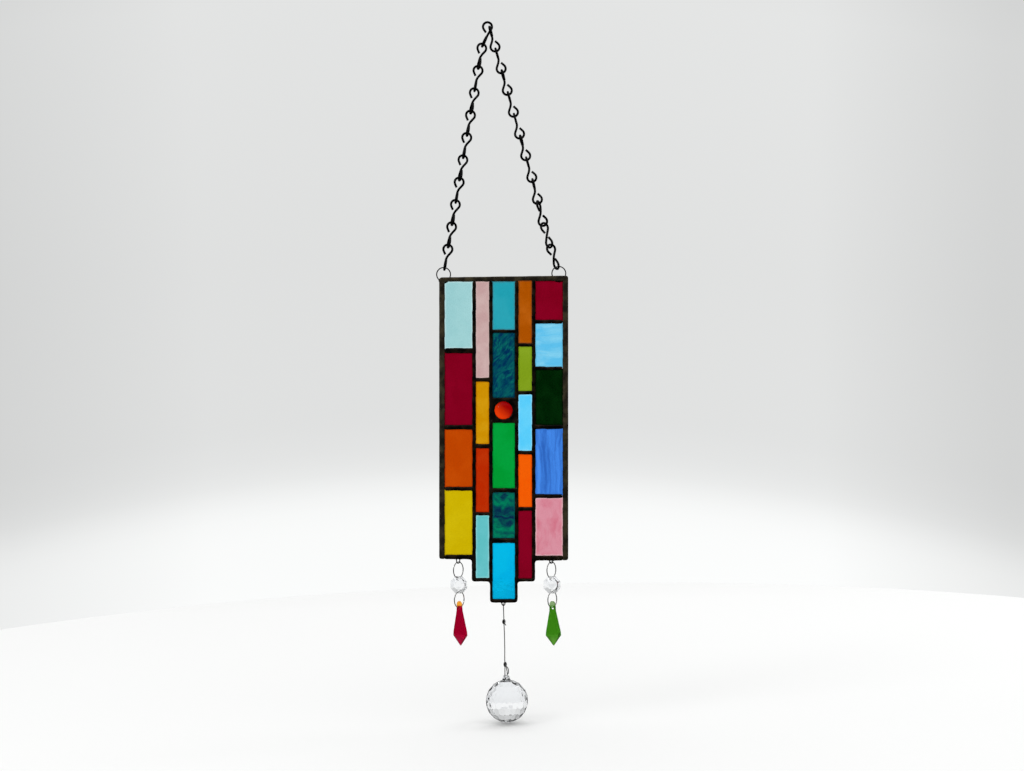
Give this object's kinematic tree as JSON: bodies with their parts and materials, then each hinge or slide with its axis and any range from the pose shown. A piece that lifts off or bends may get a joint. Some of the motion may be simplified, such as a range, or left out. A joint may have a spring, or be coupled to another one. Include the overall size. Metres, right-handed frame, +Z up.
{
  "type": "stained glass suncatcher",
  "caption": "Stepped stained glass panel in black solder and a came border, hung on a loop of jack chain, with two crystal drops and a faceted ball below.",
  "frame": {"origin": "the point where a hook bears, at the top of the eye of the top chain link", "axes": "+Z up along the hanging height, +X to the right of the front, +Y through the panel from front to back"},
  "size_m": [0.1166, 0.0344, 0.5965],
  "materials": {
    "glass_pale_aqua": "art glass, pale aqua",
    "glass_crimson": "art glass, crimson",
    "glass_rust": "art glass, rust",
    "glass_yellow": "art glass, yellow",
    "glass_pale_pink": "art glass, pale pink",
    "glass_amber": "art glass, amber",
    "glass_red_orange": "art glass, red orange",
    "glass_pale_teal": "art glass, pale teal",
    "glass_turquoise": "art glass, turquoise",
    "glass_dark_teal": "art glass, dark teal",
    "glass_green": "art glass, green",
    "glass_teal_swirl": "art glass, teal swirl",
    "glass_sky_blue": "art glass, sky blue",
    "glass_orange_brown": "art glass, orange brown",
    "glass_lime": "art glass, lime",
    "glass_light_blue": "art glass, light blue",
    "glass_orange": "art glass, orange",
    "glass_streaky_blue": "art glass, streaky blue",
    "glass_dark_green": "art glass, dark green",
    "glass_blue": "art glass, blue",
    "glass_pink": "art glass, pink",
    "glass_nugget": "art glass, nugget",
    "red_crystal": "cut glass",
    "green_crystal": "cut glass",
    "clear_crystal": "clear cut crystal",
    "black_solder": "black patina on solder",
    "antique_came": "mottled brown antique patina",
    "black_chain": "black",
    "silver_wire": "bright",
    "black_thread": "twisted thread"
  },
  "bodies": {
    "root": {"pane_a1_pale_aqua": "glass_pale_aqua", "pane_a2_crimson": "glass_crimson", "pane_a3_rust": "glass_rust", "pane_a4_yellow": "glass_yellow", "pane_b1_pale_pink": "glass_pale_pink", "pane_b2_amber": "glass_amber", "pane_b3_red_orange": "glass_red_orange", "pane_b4_pale_teal": "glass_pale_teal", "pane_c1_turquoise": "glass_turquoise", "pane_c2_dark_teal": "glass_dark_teal", "pane_c3_green": "glass_green", "pane_c4_teal_swirl": "glass_teal_swirl", "pane_c5_sky_blue": "glass_sky_blue", "pane_d1_orange_brown": "glass_orange_brown", "pane_d2_lime": "glass_lime", "pane_d3_light_blue": "glass_light_blue", "pane_d4_orange": "glass_orange", "pane_d5_crimson": "glass_crimson", "pane_e1_crimson": "glass_crimson", "pane_e2_streaky_blue": "glass_streaky_blue", "pane_e3_dark_green": "glass_dark_green", "pane_e4_blue": "glass_blue", "pane_e5_pink": "glass_pink", "nugget_red_orange": "glass_nugget", "solder_lattice": "black_solder", "border_came": "antique_came", "link_top": "black_chain", "link_left_01": "black_chain", "link_left_02": "black_chain", "link_left_03": "black_chain", "link_left_04": "black_chain", "link_left_05": "black_chain", "link_left_06": "black_chain", "link_left_07": "black_chain", "link_left_08": "black_chain", "link_left_09": "black_chain", "link_left_10": "black_chain", "link_right_01": "black_chain", "link_right_02": "black_chain", "link_right_03": "black_chain", "link_right_04": "black_chain", "link_right_05": "black_chain", "link_right_06": "black_chain", "link_right_07": "black_chain", "link_right_08": "black_chain", "link_right_09": "black_chain", "link_right_10": "black_chain", "link_right_11": "black_chain", "ring_left": "black_chain", "ring_right": "black_chain", "left_upper_ring": "silver_wire", "left_octagon": "clear_crystal", "left_lower_ring": "silver_wire", "red_drop": "red_crystal", "right_upper_ring": "silver_wire", "right_octagon": "clear_crystal", "right_lower_ring": "silver_wire", "green_drop": "green_crystal", "thread": "black_thread", "crystal_ball": "clear_crystal"}
  },
  "joints": []
}
